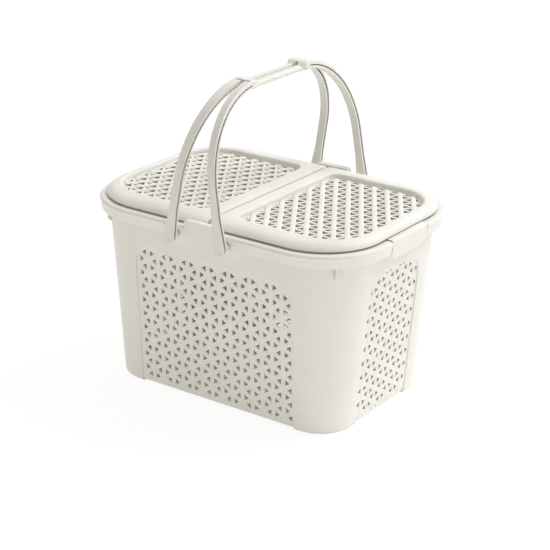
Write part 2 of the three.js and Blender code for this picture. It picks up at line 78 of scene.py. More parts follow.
def loftRings(rings, loop=False, caps=False):
    count = len(rings[0])
    faces = []
    for band in range(len(rings) if loop else len(rings) - 1):
        low, high = band * count, (band + 1) % len(rings) * count
        for i in range(count):
            j = (i + 1) % count
            faces.append((low + i, low + j, high + j, high + i))
    if caps:
        faces.append(tuple(reversed(range(count))))
        faces.append(tuple(range((len(rings) - 1) * count, len(rings) * count)))
    return [p for ring in rings for p in ring], faces


def addIsland(bm, verts, faces):
    made = [bm.verts.new(Vector(v) * mm) for v in verts]
    for face in faces:
        bm.faces.new([made[i] for i in face])


def addMesh(bm, mesh, matrix):
    # the mesh is in metres, the shift of its placing matrix in millimetres
    scaled = matrix.copy()
    scaled.translation = matrix.translation * mm
    mesh.transform(scaled)
    bm.from_mesh(mesh)
    bpy.data.meshes.remove(mesh)


def addObject(name, data):
    made = bpy.data.objects.new(name, data)
    bpy.context.scene.collection.objects.link(made)
    return made


def addPiece(name, bm):
    mesh = bpy.data.meshes.new(name)
    bm.to_mesh(mesh)
    bm.free()
    return addObject(name, mesh)


def settlePiece(bm, name, body, slot, material, turned=False):
    # welds the islands, faces them outwards and hands the piece to its body
    bmesh.ops.remove_doubles(bm, verts=bm.verts, dist=weldGap)
    bmesh.ops.recalc_face_normals(bm, faces=bm.faces)
    if turned:
        bmesh.ops.rotate(bm, verts=bm.verts, matrix=Matrix.Rotation(pi, 3, "Z"))
    piece = addPiece(name, bm)
    piece.data.shade_smooth()
    piece.data.set_sharp_from_angle(angle=sharpAngle)
    piece.data.materials.append(material)
    piece.modifiers.new("evenShading", "WEIGHTED_NORMAL").keep_sharp = True
    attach(piece, body)
    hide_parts(body)
    return piece


def cutAway(piece, cutters):
    # takes closed cutter islands out of a piece and keeps the result as plain mesh
    bm = bmesh.new()
    for verts, faces in cutters:
        addIsland(bm, verts, faces)
    bmesh.ops.recalc_face_normals(bm, faces=bm.faces)
    tool = addPiece("cutter", bm)
    cut = piece.modifiers.new("bore", "BOOLEAN")
    cut.operation = "DIFFERENCE"
    cut.solver = "EXACT"
    cut.use_self = True
    cut.object = tool
    shading = piece.modifiers["evenShading"]
    shading.show_viewport = False
    solid = piece.evaluated_get(bpy.context.evaluated_depsgraph_get())
    done = bpy.data.meshes.new_from_object(solid)
    piece.modifiers.remove(cut)
    shading.show_viewport = True
    spare = (piece.data, tool.data)
    piece.data = done
    done.name = piece.name
    done.shade_smooth()
    done.set_sharp_from_angle(angle=sharpAngle)
    bpy.data.objects.remove(tool)
    for mesh in spare:
        bpy.data.meshes.remove(mesh)


def roundPinY(radius, x, z, start, end, sides=32, edge=0.0):
    # a pin along Y with a small rounded edge at its far end
    stations = [(start, radius), (end - math.copysign(edge, end - start), radius), (end, radius - edge)]
    rings = []
    for y, r in stations:
        rings.append([Vector((x + r * cos(t), y, z + r * sin(t)))
                      for t in (2 * pi * k / sides for k in range(sides))])
    return loftRings(rings, caps=True)


def filledPlate(outlines, thickness, bevel, steps=1):
    # a flat plate with rounded edges, drawn as a filled curve
    # the first outline is its edge and the rest are holes
    curve = bpy.data.curves.new("plate", "CURVE")
    curve.dimensions = "2D"
    curve.fill_mode = "BOTH"
    curve.extrude = thickness / 2 - bevel
    curve.bevel_depth = bevel
    curve.bevel_resolution = steps
    curve.offset = -bevel
    for outline in outlines:
        spline = curve.splines.new("POLY")
        spline.points.add(len(outline) - 1)
        for point, (x, y) in zip(spline.points, outline):
            point.co = (x, y, 0, 1)
        spline.use_cyclic_u = True
    holder = addObject("plate", curve)
    shown = holder.evaluated_get(bpy.context.evaluated_depsgraph_get())
    mesh = bpy.data.meshes.new_from_object(shown)
    bpy.data.objects.remove(holder)
    bpy.data.curves.remove(curve)
    mesh.transform(Matrix.Scale(mm, 4))
    return mesh


# small helpers for shader nodes

def mathNode(nodes, links, operation, *values):
    node = nodes.new("ShaderNodeMath")
    node.operation = operation
    for socket, value in zip(node.inputs, values):
        if isinstance(value, float):
            socket.default_value = value
        else:
            links.new(value, socket)
    return node.outputs["Value"]


def remap(nodes, links, value, source, target=(0.0, 1.0)):
    node = nodes.new("ShaderNodeMapRange")
    for name, number in zip(("From Min", "From Max", "To Min", "To Max"), (*source, *target)):
        node.inputs[name].default_value = number
    links.new(value, node.inputs["Value"])
    return node.outputs["Result"]


# finishes

ivory = {
    "light": (0.855, 0.838, 0.775, 1),
    "deep": (0.815, 0.795, 0.722, 1),
    "grain": 1150.0,
    "patch": 16.0,
    "bump": 0.10,
}
mould = {"tone": (0.3, 0.7), "grainShare": 0.35, "glossFrom": (0.45, 0.9), "gloss": (0.40, 0.54),
         "driftRoughness": 0.6, "ior": 1.49, "depth": 0.1}
# painted shade in grooves, seams and corners: how far it looks, the occlusion range it maps, its colour and its
# samples
paintedCreviceShade = {"reach": 5.5, "range": (0.20, 0.68), "tone": (0.43, 0.41, 0.35, 1), "samples": 6}


def makeMouldGrain():
    # fine texture of a moulded surface: tone and gloss that drift, and a grain for the bump
    group = bpy.data.node_groups.new("mouldGrain", "ShaderNodeTree")
    face = group.interface
    for name in ("Grain", "Patch"):
        face.new_socket(name, in_out="INPUT", socket_type="NodeSocketFloat")
    for name in ("Tone", "Gloss", "Height"):
        face.new_socket(name, in_out="OUTPUT", socket_type="NodeSocketFloat")
    nodes, links = group.nodes, group.links
    entry = nodes.new("NodeGroupInput")
    leave = nodes.new("NodeGroupOutput")
    place = nodes.new("ShaderNodeTexCoord")
    fine = nodes.new("ShaderNodeTexNoise")
    fine.inputs["Detail"].default_value = 3
    drift = nodes.new("ShaderNodeTexNoise")
    drift.inputs["Detail"].default_value = 4
    drift.inputs["Roughness"].default_value = mould["driftRoughness"]
    for noise, name in ((fine, "Grain"), (drift, "Patch")):
        links.new(place.outputs["Object"], noise.inputs["Vector"])
        links.new(entry.outputs[name], noise.inputs["Scale"])
    both = mathNode(nodes, links, "MULTIPLY_ADD", fine.outputs["Fac"], mould["grainShare"], drift.outputs["Fac"])
    links.new(remap(nodes, links, drift.outputs["Fac"], mould["tone"]), leave.inputs["Tone"])
    links.new(remap(nodes, links, both, mould["glossFrom"], mould["gloss"]), leave.inputs["Gloss"])
    links.new(fine.outputs["Fac"], leave.inputs["Height"])
    return group


mouldGrain = makeMouldGrain()


def makeIvory(name, light, deep, grain, patch, bump):
    material = bpy.data.materials.new(name)
    material.use_nodes = True
    nodes, links = material.node_tree.nodes, material.node_tree.links
    plastic = nodes["Principled BSDF"]
    plastic.inputs["IOR"].default_value = mould["ior"]
    grainNode = nodes.new("ShaderNodeGroup")
    grainNode.node_tree = mouldGrain
    grainNode.inputs["Grain"].default_value = grain
    grainNode.inputs["Patch"].default_value = patch
    tint = nodes.new("ShaderNodeMix")
    tint.data_type = "RGBA"
    tint.inputs["A"].default_value = deep
    tint.inputs["B"].default_value = light
    links.new(grainNode.outputs["Tone"], tint.inputs["Factor"])
    # painted shade: the colour darkens in grooves, seams and corners, where ambient occlusion finds them
    creviceOcclusion = nodes.new("ShaderNodeAmbientOcclusion")
    creviceOcclusion.samples = paintedCreviceShade["samples"]
    creviceOcclusion.inputs["Distance"].default_value = paintedCreviceShade["reach"] * mm
    paintedShade = nodes.new("ShaderNodeMix")
    paintedShade.data_type = "RGBA"
    paintedShade.inputs["A"].default_value = paintedCreviceShade["tone"]
    links.new(remap(nodes, links, creviceOcclusion.outputs["AO"], paintedCreviceShade["range"]), paintedShade.inputs["Factor"])
    links.new(tint.outputs["Result"], paintedShade.inputs["B"])
    links.new(paintedShade.outputs["Result"], plastic.inputs["Base Color"])
    links.new(grainNode.outputs["Gloss"], plastic.inputs["Roughness"])
    relief = nodes.new("ShaderNodeBump")
    relief.inputs["Strength"].default_value = bump
    relief.inputs["Distance"].default_value = mould["depth"] * mm
    links.new(grainNode.outputs["Height"], relief.inputs["Height"])
    links.new(relief.outputs["Normal"], plastic.inputs["Normal"])
    return material


tubIvory = makeIvory("tubIvory", **ivory)
tubParts = {"body": "tub", "slot": "tub_plastic", "material": tubIvory}
lidIvory = makeIvory("lidIvory", **{**ivory, "light": (0.865, 0.850, 0.795, 1), "patch": 20.0})
# the handles take a darker copy of the ivory: painted shade for the dimmer light on them
shadedHandleIvory = makeIvory("shadedHandleIvory", **{**ivory, "light": (0.825, 0.808, 0.745, 1),
                                          "deep": (0.780, 0.758, 0.687, 1), "patch": 26.0})
print("finishes ready")


# outlines that the tub, rim and lids share

tub = {
    "rimHalf": (198.7, 142.0), "rimCorner": 86.0, "rimHeight": 235.5,
    "neckHalf": (185.6, 126.0), "neckCorner": 64.0,
    "footHalf": (166.0, 111.0), "footCorner": 45.0,
    "wall": 3.0, "floorTop": 5.1, "footHeight": 2.5, "bottomRound": 4.0,
    "cornerSteps": 22,
}
fourCorners = ((1, 1), (-1, 1), (-1, -1), (1, -1))


def ringRound(half, corner, z, sideStops=(), endStops=()):
    # points round a rectangle with rounded corners; stops add points on the straight sides
    ring = []
    up = Vector((0, 0, z))
    for side in range(4):
        along, out = sideVectors(side)
        length, distance = half if side % 2 == 0 else half[::-1]
        for t in (sideStops if side % 2 == 0 else endStops):
            ring.append(along * t + out * distance + up)
        for turn in quarterTurns(tub["cornerSteps"]):
            ring.append(along * (length - corner + corner * sin(turn))
                        + out * (distance - corner + corner * cos(turn)) + up)
    return ring


def wallSizes(z):
    share = z / tub["rimHeight"]
    half = tuple(between(f, n, share) for f, n in zip(tub["footHalf"], tub["neckHalf"]))
    return half, between(tub["footCorner"], tub["neckCorner"], share)


def bottomInset(z):
    # how far the rounded lower edge draws in
    r = tub["bottomRound"]
    return 0 if z >= r else r - math.sqrt(max(0, r * r - (r - z) ** 2))


def wallPoint(side, u, z, depth):
    # a point on the wall: u runs along the side and on round the corner to its middle
    half, corner = wallSizes(z)
    along, out = sideVectors(side)
    length, distance = half if side % 2 == 0 else half[::-1]
    inset = depth + bottomInset(z)
    flat = panels[side % 2]["flat"]
    reach = length - corner
    way = math.copysign(1, u)
    if abs(u) <= flat:
        place = along * (u * reach / flat) + out * (distance - inset)
    else:
        turn = (abs(u) - flat) / cornerArc * pi / 4
        place = along * way * (reach + (corner - inset) * sin(turn)) \
            + out * (distance - corner + (corner - inset) * cos(turn))
    return place + Vector((0, 0, z))


# walls of the tub, with an opening in each side for its pierced panel

cornerArc = 43.0
panels = (
    {"half": 115.0, "top": 186.0, "radius": 25.0, "flat": 121.3, "notch": 12.6, "across": 1.6, "topRow": 7.2},
    {"half": 55.0, "top": 190.0, "radius": 25.0, "flat": 64.0, "notch": 0.0, "across": 7.55, "topRow": 9.3},
)
walls = {
    "edgeRound": 1.6, "top": 232.9, "notchTop": 228.9, "notchEdge": 0.1, "archSteps": 10, "acrossSteps": 13,
    "levels": (0, 0.5, 1.2, 2.2, 4.0, 40, 80, 120, 158), "archFoot": 163,  # heights up the posts
}


def wallSide(side):
    panel = panels[side % 2]
    half, top, radius = panel["half"], panel["top"], panel["radius"]
    reach = panel["flat"] + cornerArc
    wallTop = walls["top"]
    steps = walls["archSteps"]
    bridge = half - radius
    # opening edge, its outward direction, and the border point that each row runs to
    rows = [((-half, z), (-1, 0), (-reach, z)) for z in walls["levels"]]
    for k in range(steps + 1):
        turn = pi - pi / 2 * k / steps
        edge = (-bridge + radius * cos(turn), top - radius + radius * sin(turn))
        if k <= steps // 2:
            border = (-reach, between(walls["archFoot"], wallTop, k / (steps // 2)))
        else:
            border = (between(-reach, -bridge, (k - steps // 2) / (steps - steps // 2)), wallTop)
        rows.append((edge, (cos(turn), sin(turn)), border))
    mirrored = [((-e[0], e[1]), (-n[0], n[1]), (-b[0], b[1])) for e, n, b in reversed(rows)]
    stops = [-bridge / 2, bridge / 2]
    if panel["notch"]:
        n, e = panel["notch"], walls["notchEdge"]
        stops[1:1] = [-n - e, -n, n, n + e]
    for u in stops:
        high = walls["notchTop"] if abs(u) <= panel["notch"] else wallTop
        rows.append(((u, top), (0, 1), (u, high)))
    rows += mirrored

    r = walls["edgeRound"]
    thick = tub["wall"]
    total = reach - half
    shares = [(panel["flat"] - half) / total]
    shares += [between(shares[0], 1, k / walls["acrossSteps"]) for k in range(1, walls["acrossSteps"] + 1)]
    grid = []
    for edge, normal, border in rows:
        def nearEdge(offset, depth):
            return wallPoint(side, edge[0] + normal[0] * offset, edge[1] + normal[1] * offset, depth)

        def toBorder(share, depth):
            return wallPoint(side, *pointOn(edge, border, share), depth)
        line = [toBorder(share, thick) for share in reversed(shares)] + [nearEdge(0, thick)]
        line += [nearEdge(r * (1 - cos(turn)), r * (1 - sin(turn))) for turn in quarterTurns()]
        grid.append(line + [toBorder(share, 0) for share in shares])
    count = len(grid[0])
    faces = []
    for k in range(len(grid) - 1):
        for j in range(count - 1):
            a = k * count + j
            faces.append((a, a + 1, a + count + 1, a + count))
    # close the lower ends of the posts and the top edge of the wall
    across = len(shares)
    last = (len(grid) - 1) * count
    for base in (0, last):
        for j in range(across - 1):
            a, b = base + j, base + count - 1 - j
            faces.append((a, a + 1, b - 1, b))
        faces.append(tuple(range(base + across - 1, base + count - across + 1)))
    onTop = [k for k in range(len(rows)) if rows[k][2][1] >= walls["notchTop"] - slack]
    for k, n in zip(onTop, onTop[1:]):
        faces.append((k * count, n * count, n * count + count - 1, k * count + count - 1))
    return [p for line in grid for p in line], faces


def makeWalls():
    bm = bmesh.new()
    for side in range(4):
        addIsland(bm, *wallSide(side))
    settlePiece(bm, "tubWalls", **tubParts)


makeWalls()
print("walls built")


# floor of the tub and its four feet

floor = {
    "edgeRound": 4.0, "lap": 2.2,
    "footX": 115.0, "footY": 55.0, "footLevels": (0, 0.4, 1.2, 2.9), "footInset": 0.15, "footSteps": 12,
}


def makeFloor():
    bm = bmesh.new()
    top, under = tub["floorTop"], tub["footHeight"]
    r = floor["edgeRound"]

    def ring(inset, z):
        half, corner = wallSizes(z)
        return ringRound(tuple(h - inset for h in half), corner - inset, z)

    rings = [ring(floor["lap"], under), ring(floor["lap"], top + r)]
    for turn in quarterTurns():
        rings.append(ring(tub["wall"] + r * (1 - cos(turn)), top + r * (1 - sin(turn))))
    addIsland(bm, *loftRings(rings, caps=True))
    # feet: the corner of the outline, cut off square where the underside rises
    for sx, sy in fourCorners:
        rings = []
        for z in floor["footLevels"]:
            half, corner = wallSizes(z)
            inset = bottomInset(z) + floor["footInset"]
            outline = [(half[0] - inset, floor["footY"])]
            outline += arcPoints(half[0] - corner, half[1] - corner, corner - inset, 0, floor["footSteps"])
            outline += [(floor["footX"], half[1] - inset), (floor["footX"], floor["footY"])]
            rings.append([Vector((sx * x, sy * y, z)) for x, y in outline])
        addIsland(bm, *loftRings(rings, caps=True))
    settlePiece(bm, "tubFloor", **tubParts)


makeFloor()
print("floor and feet built")


# pierced panels

wallLattice = {
    "pitch": 15.1, "halfPeriod": 9.25, "bar": 6.2,
    "low": 6.0, "edge": 1.6, "corner": 0.8,
    "recess": 1.6, "thickness": 2.5, "lap": 3.0, "bevel": 0.9,
    "ridgeWidth": 4.6, "ridgeRise": 0.3, "rows": 18,
}
cornerReach, cornerShare = 1.6, 0.42  # run of a rounded corner: in radii, and at most of its side
leastHole = 0.16  # holes cut smaller than this share are left out
ridgeEnd = ((0.0, 0.05), (1.2, 0.8), (2.6, 1.0))  # distance from the end and share of the rise
ridgeRoot = 0.5


def sideOf(a, b, p):
    # positive where p lies to the left of the line from a to b
    return (b[0] - a[0]) * (p[1] - a[1]) - (b[1] - a[1]) * (p[0] - a[0])


def clipConvex(points, border):
    # the part of a convex outline inside a counter-clockwise convex border
    for a, b in edgesOf(border):
        kept = []
        for p, q in edgesOf(points):
            dp, dq = sideOf(a, b, p), sideOf(a, b, q)
            if dp >= 0:
                kept.append(p)
            if dp * dq < 0:
                kept.append(pointOn(p, q, dp / (dp - dq)))
        points = kept
        if len(points) < 3:
            return []
    return points


def areaOf(points):
    return sum(p[0] * q[1] - q[0] * p[1] for p, q in edgesOf(points)) / 2


def softCorners(points, radius, steps=3):
    # rounds the corners of a small outline
    done = []
    count = len(points)
    for i in range(count):
        here = Vector(points[i])
        back, ahead = Vector(points[i - 1]) - here, Vector(points[(i + 1) % count]) - here
        reach = min(radius * cornerReach, back.length * cornerShare, ahead.length * cornerShare)
        start, end = here + back.normalized() * reach, here + ahead.normalized() * reach
        for k in range(steps + 1):
            s = k / steps
            done.append(tuple(start * (1 - s) ** 2 + here * 2 * s * (1 - s) + end * s * s))
    return done


def triangleField(border, pitch, halfPeriod, bar, corner, start):
    # triangular holes between straight bars along the second axis and struts that zigzag between them
    inradius = pitch * halfPeriod / (halfPeriod + math.hypot(pitch, halfPeriod))
    shrink = 1 - bar / 2 / inradius
    xs, ys = [p[0] for p in border], [p[1] for p in border]
    least = leastHole * pitch * halfPeriod * shrink * shrink
    holes = []
    columns = range(math.floor(min(xs) / pitch - 1.5), math.ceil(max(xs) / pitch + 1.5))
    rows = range(math.floor((min(ys) - start) / halfPeriod) - 1, math.ceil((max(ys) - start) / halfPeriod) + 2)
    for column in columns:
        for row in rows:
            toward = 1 if (column + row) % 2 == 0 else -1
            base = (column - 0.5 * toward) * pitch
            middle = start + row * halfPeriod
            cx = base + toward * inradius
            tri = [(base, middle - toward * halfPeriod), (base + toward * pitch, middle),
                   (base, middle + toward * halfPeriod)]
            tri = [(cx + (x - cx) * shrink, middle + (y - middle) * shrink) for x, y in tri]
            tri = clipConvex(tri, border)
            if tri and areaOf(tri) > least:
                holes.append(softCorners(tri, corner))
    return holes


def archOutline(half, low, high, radius, steps=12):
    outline = [(-half, low), (half, low)]
    outline += arcPoints(half - radius, high - radius, radius, 0, steps)
    outline += arcPoints(radius - half, high - radius, radius, pi / 2, steps)
    return outline


def clipLine(a, b, border):
    # the part of a line inside a counter-clockwise convex border
    low, high = 0.0, 1.0
    for start, end in edgesOf(border):
        da, db = sideOf(start, end, a), sideOf(start, end, b)
        if da < 0 and db < 0:
            return None
        if da * db < 0:
            cross = da / (da - db)
            if da < 0:
                low = max(low, cross)
            else:
                high = min(high, cross)
    return (pointOn(a, b, low), pointOn(a, b, high)) if high > low else None


def ridge(bm, a, b, base, width, rise, matrix):
    # a low rounded ridge along a bar, with its ends run down to the plate
    a, b = Vector(a), Vector(b)
    way = (b - a).normalized()
    cross = Vector((-way.y, way.x))
    stations = [(a + way * run, lift) for run, lift in ridgeEnd]
    stations += [(b - way * run, lift) for run, lift in reversed(ridgeEnd)]
    rings = []
    for place, lift in stations:
        ring = []
        for k in range(9):
            turn = pi * k / 8
            spot = place + cross * (width / 2 * cos(turn))
            ring.append(matrix @ Vector((spot.x, spot.y, base + rise * lift * sin(turn))))
        for k in (1, -1):
            spot = place - cross * (width / 2 * k)
            ring.append(matrix @ Vector((spot.x, spot.y, base - ridgeRoot)))
        rings.append(ring)
    addIsland(bm, *loftRings(rings, caps=True))


def makeWallPanel(side, name):
    panel = panels[side % 2]
    axis = 1 - side % 2
    foot = tub["footHalf"][axis]
    slope = math.atan2(tub["neckHalf"][axis] - foot, tub["rimHeight"])
    top = panel["top"] / cos(slope)
    stand = Matrix.Rotation(side * pi / 2, 4, "Z") @ Matrix.Translation((0, -foot, 0)) \
        @ Matrix.Rotation(pi / 2 + slope, 4, "X")
    w = wallLattice
    edge = w["edge"]
    border = archOutline(panel["half"] - edge, w["low"], top - edge, panel["radius"] - edge)
    # the holes stand a little to one side of the panel's middle
    across = panel["across"]
    holes = triangleField([(x - across, y) for x, y in border], w["pitch"], w["halfPeriod"], w["bar"], w["corner"],
                          top - panel["topRow"] - w["rows"] * w["halfPeriod"])
    holes = [[(x + across, y) for x, y in hole] for hole in holes]
    outline = archOutline(panel["half"] + w["lap"], tub["footHeight"], top + w["lap"], panel["radius"] + w["lap"])
    plate = filledPlate([outline] + holes, w["thickness"], w["bevel"])
    bm = bmesh.new()
    addMesh(bm, plate, stand @ Matrix.Translation((0, 0, -w["recess"] - w["thickness"] / 2)))
    bars = math.ceil(panel["half"] / w["pitch"])
    for k in range(-bars, bars):
        u = (k + 0.5) * w["pitch"] + across
        line = clipLine((u, -beyond), (u, beyond), border)
        if line:
            ridge(bm, *line, -w["recess"], w["ridgeWidth"], w["ridgeRise"], stand)
    print(name, "has", len(holes), "holes")
    settlePiece(bm, name, **tubParts)


for side, name in enumerate(("panelFront", "panelRight", "panelBack", "panelLeft")):
    makeWallPanel(side, name)
print("pierced panels built")


# rim with its skirt, latch pockets and hinge notches

rim = {
    "pocketHalf": 39.0, "pocketDepth": 3.4, "pocketEdge": 0.5, "pocketInset": 6.0,
    "notchHalf": 12.6, "notchInset": 7.8, "notchEdge": 0.1, "padHalf": 25.2, "padInset": 2.2, "padEdge": 0.5,
    "endFrom": 150.0, "sideFrom": 100.0,  # points farther out than these are on an end or a long side
    # section from the wall out under the flange, down and up the skirt, over the bead and back along the ledge
    "section": (
        ("wall", 1.5, 230.5), ("wall", 1.5, 232.9), ("rim", 5.0, 232.9), ("rim", 4.2, 232.3),
        ("rim", 4.7, 221.0), ("rim", 4.5, 220.0), ("rim", 4.0, 219.6), ("rim", 3.3, 219.5),
        ("rim", 2.6, 219.7), ("rim", 2.15, 220.3), ("rim", 0.95, 229.2), ("rim", 0.75, 230.1),
        ("rim", 0.25, 230.7), ("rim", 0.0, 231.6), ("rim", 0.05, 232.6), ("rim", 0.4, 233.7),
        ("rim", 1.0, 234.6), ("rim", 1.9, 235.2), ("rim", 3.0, 235.5), ("rim", 7.9, 235.5),
        ("wall", 2.4, 235.5), ("wall", 2.9, 235.2), ("wall", 3.0, 234.6), ("wall", 3.0, 230.5),
    ),
}


def rimRing(kind, inset, z):
    notch, pocket, pad = rim["notchHalf"], rim["pocketHalf"], rim["padHalf"]
    ends = [notch, notch + rim["notchEdge"], pad, pad + rim["padEdge"]]
    sideStops = [-stop for stop in reversed(ends)] + ends
    ends = [pocket / 2, pocket, pocket + rim["pocketEdge"]]
    endStops = [-stop for stop in reversed(ends)] + [0] + ends
    half, corner = (tub["rimHalf"], tub["rimCorner"]) if kind == "rim" else wallSizes(z)
    done = []
    for point in ringRound(tuple(h - inset for h in half), corner - inset, z, sideStops, endStops):
        x, y = point.x, point.y
        onEnd, onSide = abs(x) > rim["endFrom"], abs(y) > rim["sideFrom"]
        if kind == "rim" and inset < rim["pocketInset"] and onEnd and abs(y) <= pocket + slack:
            x -= math.copysign(rim["pocketDepth"], x)
        if kind == "rim" and inset < rim["padInset"] and onSide and abs(x) <= pad + slack:
            y = math.copysign(tub["rimHalf"][1] - rim["padInset"], y)
        if kind == "wall" and onSide and abs(x) <= notch + slack:
            y = math.copysign(tub["rimHalf"][1] - rim["notchInset"], y)
        done.append(Vector((x, y, z)))
    return done


bosses = {
    "pivotX": 36.5, "pivotZ": 224.0, "root": 124.5, "rootFace": 138.4,
    "half": 20.0, "tipHalf": 12.0, "low": 210.5, "skirt": 219.5, "high": 232.0, "round": 5.0,
    "setBack": 1.0, "bevel": 0.6, "bore": 4.3, "boreFrom": 136.0, "boreTo": 147.2,
}
# the front of the skirt between and under the bosses, which runs up into the ear
pads = {"face": 141.2, "level": 231.6, "tilt": 0.12, "thickness": 3.4, "shoulder": 229.0, "bevel": 0.5}
ears = {"half": 25.0, "low": 229.0, "high": 243.5, "corner": 5.0, "inner": 134.2, "outer": 140.4, "inset": 0.4,
        "bevel": 0.9, "socket": 2.3, "socketX": 9.0, "socketZ": 239.5, "socketFrom": 131.2, "socketTo": 138.7}
cornerRibs = {"thickness": 4.0, "reach": 5.0, "low": 202.9, "high": 233.5,
              "root": 1.5, "cut": 1.5, "slant": 2.0, "round": 1.2, "bevel": 0.7}


def fourBores(radius, x, z, start, end):
    return [roundPinY(radius, across * x, z, way * start, way * end) for way in (-1, 1) for across in (-1, 1)]


handleBores = fourBores(*(bosses[k] for k in ("bore", "pivotX", "pivotZ", "boreFrom", "boreTo")))
lidSockets = fourBores(*(ears[k] for k in ("socket", "socketX", "socketZ", "socketFrom", "socketTo")))


def makeRim():
    bm = bmesh.new()
    addIsland(bm, *loftRings([rimRing(*row) for row in rim["section"]], loop=True))
    cutAway(settlePiece(bm, "rimBand", **tubParts), handleBores)


def makeBosses():
    bm = bmesh.new()
    b = bosses
    half, tip, low = b["half"] - b["setBack"], b["tipHalf"] - b["setBack"], b["low"] + b["setBack"]
    shape = [(half, b["high"]), (-half, b["high"]), (-half, b["skirt"]), (-tip, low), (tip, low), (half, b["skirt"])]
    shape = softCorners(shape, b["round"], 4)
    for way in (-1, 1):
        for x in (-b["pivotX"], b["pivotX"]):
            plate = filledPlate([[(px + x, pz) for px, pz in shape]], b["rootFace"] - b["root"], b["bevel"], 2)
            middle = way * (b["rootFace"] + b["root"]) / 2
            addMesh(bm, plate, Matrix.Translation((0, middle, 0)) @ upright)
    # one smooth front for each long side: the ear above, a dip below each handle foot
    p = pads
    near, far = b["pivotX"] - b["half"], b["pivotX"] + b["half"]
    nearTip, farTip = b["pivotX"] - b["tipHalf"], b["pivotX"] + b["tipHalf"]
    right = [(near, b["skirt"]), (nearTip, b["low"]), (farTip, b["low"]), (far, b["skirt"]), (far, p["shoulder"]),
             (ears["half"], p["shoulder"]), (ears["half"], ears["high"])]
    outline = softCorners(right + [(-x, z) for x, z in reversed(right)], b["round"], 6)
    for way in (-1, 1):
        plate = filledPlate([[(x, z - p["level"]) for x, z in outline]], p["thickness"], p["bevel"], 3)
        place = Matrix.Translation((0, way * (p["face"] - p["thickness"] / 2), p["level"])) \
            @ Matrix.Rotation(-way * p["tilt"], 4, "X") @ upright
        addMesh(bm, plate, place)
    cutAway(settlePiece(bm, "handleBosses", **tubParts), handleBores + lidSockets)


def makeEars():
    bm = bmesh.new()
    e = ears
    half, high = e["half"] - e["inset"], e["high"] - e["inset"]
    rounded = softCorners([(half, e["low"]), (half, high), (-half, high), (-half, e["low"])],
                          e["corner"] / cornerReach, 6)
    for way in (-1, 1):
        plate = filledPlate([rounded], e["outer"] - e["inner"], e["bevel"], 3)
        middle = way * (e["inner"] + e["outer"]) / 2
        addMesh(bm, plate, Matrix.Translation((0, middle, 0)) @ upright)
    cutAway(settlePiece(bm, "hingeEars", **tubParts), lidSockets)


def makeCornerRibs():
    bm = bmesh.new()
    c = cornerRibs
    half, corner = wallSizes(c["low"])
    inner, outer = corner - c["root"], corner + c["reach"]
    shape = [(inner, c["low"] - c["slant"]), (outer - c["cut"], c["low"]), (outer, c["low"] + c["slant"]),
             (outer, c["high"]), (inner, c["high"])]
    shape = softCorners(shape, c["round"], 4)
    for sx, sy in fourCorners:
        plate = filledPlate([shape], c["thickness"], c["bevel"], 2)
        turn = Matrix.Translation((sx * (half[0] - corner), sy * (half[1] - corner), 0)) \
            @ Matrix.Rotation(math.atan2(sy, sx), 4, "Z") @ upright
        addMesh(bm, plate, turn)
    settlePiece(bm, "cornerRibs", **tubParts)


makeRim()
makeBosses()
makeEars()
makeCornerRibs()
print("rim, bosses, ears and ribs built")


# lid flaps

lid = {
    "gap": 1.3, "end": 190.1, "side": 133.4, "corner": 77.4, "innerCorner": 9.0, "innerShrink": 0.4, "innerLeast": 2.5,
    "bottom": 235.8, "height": 10.5, "wall": 2.4, "crownSide": 19.0, "crownEnd": 12.0, "innerRound": 4.2,
    "topCrown": 0.4, "undercut": 2.3, "undercutEdge": 0.01, "steps": 20, "rollSteps": 12, "crownSteps": 6,
    "floorMiddle": 23.0, "floorEnd": 173.1, "floorSide": 103.4, "floorEndRadius": 48.0, "floorMiddleRadius": 14.0,
    "floorTop": 240.3, "slope": 1.0, "floorLap": 0.5,
    "lip": ((2.4, 0.0), (1.3, 0.25), (0.5, 0.8), (0.0, 1.8)),  # margin past the slope, drop below the top
    "cove": ((0.7, 0.9), (0.3, 0.25), (-0.4, 0.02)),  # margin, height above the sunk floor
    "pinX": 9.0, "pinZ": 239.5, "pinRadius": 2.0, "pinRoot": 128.6, "pinTip": 138.4, "pinSides": 24, "pinEdge": 0.4,
}
lidLattice = {
    "pitch": 14.8, "halfPeriod": 9.35, "bar": 3.7, "corner": 0.7, "edge": 1.2, "thickness": 2.4, "bevel": 0.7,
    "start": 22.0, "ridgeWidth": 6.8, "ridgeRise": 1.4, "lap": 1.2, "struts": 40,
}
tongue = {"half": 38.5, "tipHalf": 33.0, "outer": 198.3, "thickness": 2.6, "tip": 212.0, "skirt": 219.5,
          "root": 187.7, "ledge": 1.1, "bend": 3.2, "inside": 0.6, "corner": 4.0, "edge": 0.45,
          "draft": 0.11, "draftTop": 231.0, "levels": (230.0, 225.0, 219.5, 217.5), "tipThin": 0.5, "tipRise": 0.3}


def lidCorners(left, right, side, outer, inner, z):
    # counter-clockwise from the back right corner
    spots = ((right - outer, side - outer, outer), (left + inner, side - inner, inner),
             (left + inner, -side + inner, inner), (right - outer, -side + outer, outer))
    ring = []
    for number, (x, y, radius) in enumerate(spots):
        ring += [Vector((*spot, z)) for spot in arcPoints(x, y, radius, number * pi / 2, lid["steps"])]
    return ring


def lidRing(insetSide, insetEnd, insetMiddle, z):
    inner = max(lid["innerCorner"] - insetMiddle * lid["innerShrink"], lid["innerLeast"])
    return lidCorners(lid["gap"] + insetMiddle, lid["end"] - insetEnd, lid["side"] - insetSide,
                      lid["corner"] - (insetSide + insetEnd) / 2, inner, z)


def lidFloorRing(margin, z):
    return lidCorners(lid["floorMiddle"] - margin, lid["floorEnd"] + margin, lid["floorSide"] + margin,
                      lid["floorEndRadius"] + margin, lid["floorMiddleRadius"] + margin, z)


